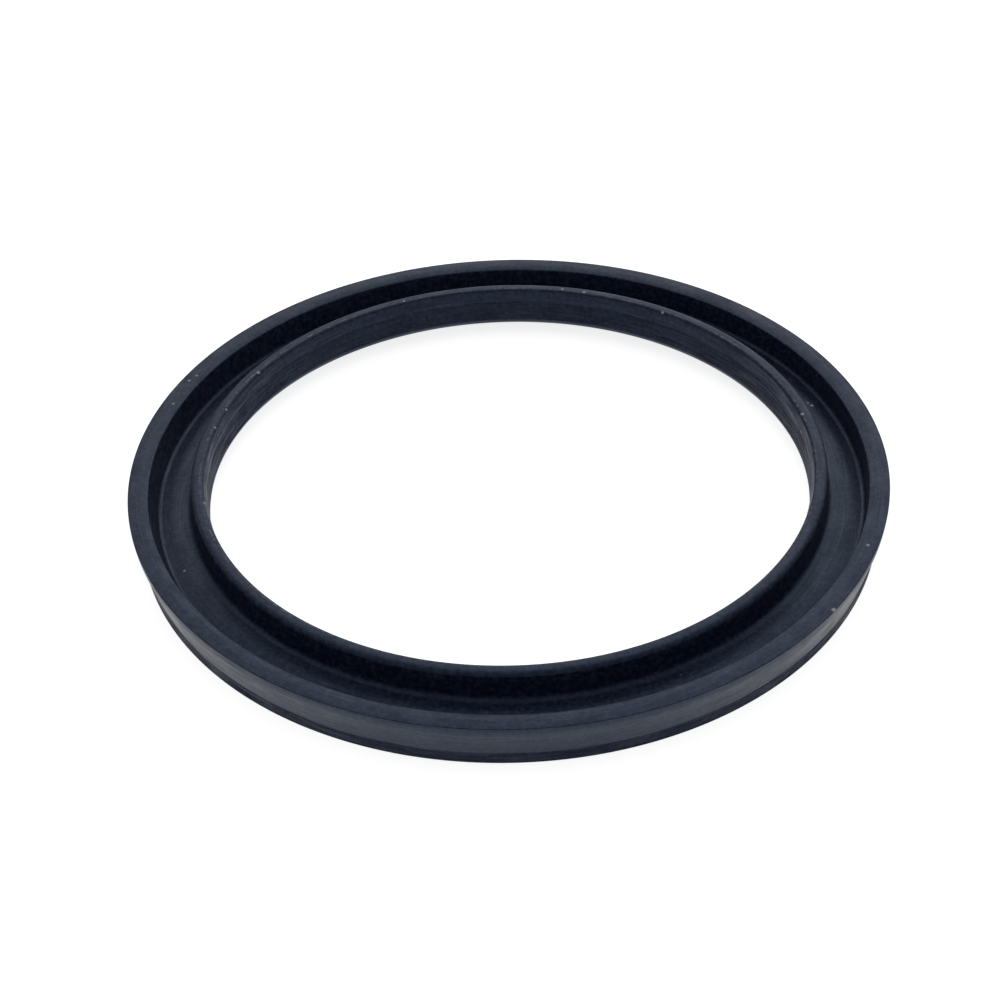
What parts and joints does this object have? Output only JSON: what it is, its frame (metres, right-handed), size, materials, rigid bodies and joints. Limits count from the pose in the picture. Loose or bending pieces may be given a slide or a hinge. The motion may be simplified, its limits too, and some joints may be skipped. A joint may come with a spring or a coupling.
{
  "type": "riser seal",
  "caption": "Flat black rubber lip seal ring with a U-shaped section: a tall inner lip for the riser and a flared outer lip, the groove open upwards.",
  "frame": {"origin": "centre of the flat heel face that the ring lies on, on the bore's axis", "axes": "+Z along the bore's axis, from the heel towards the lips; the ring is round, so X and Y are any two directions across it"},
  "size_m": [0.05, 0.05, 0.0038],
  "materials": {
    "rubber": "satin black moulded rubber with a dull sheen, fine moulding lines and a few specks of lint"
  },
  "bodies": {
    "root": {"riser_seal": "rubber"}
  },
  "joints": []
}
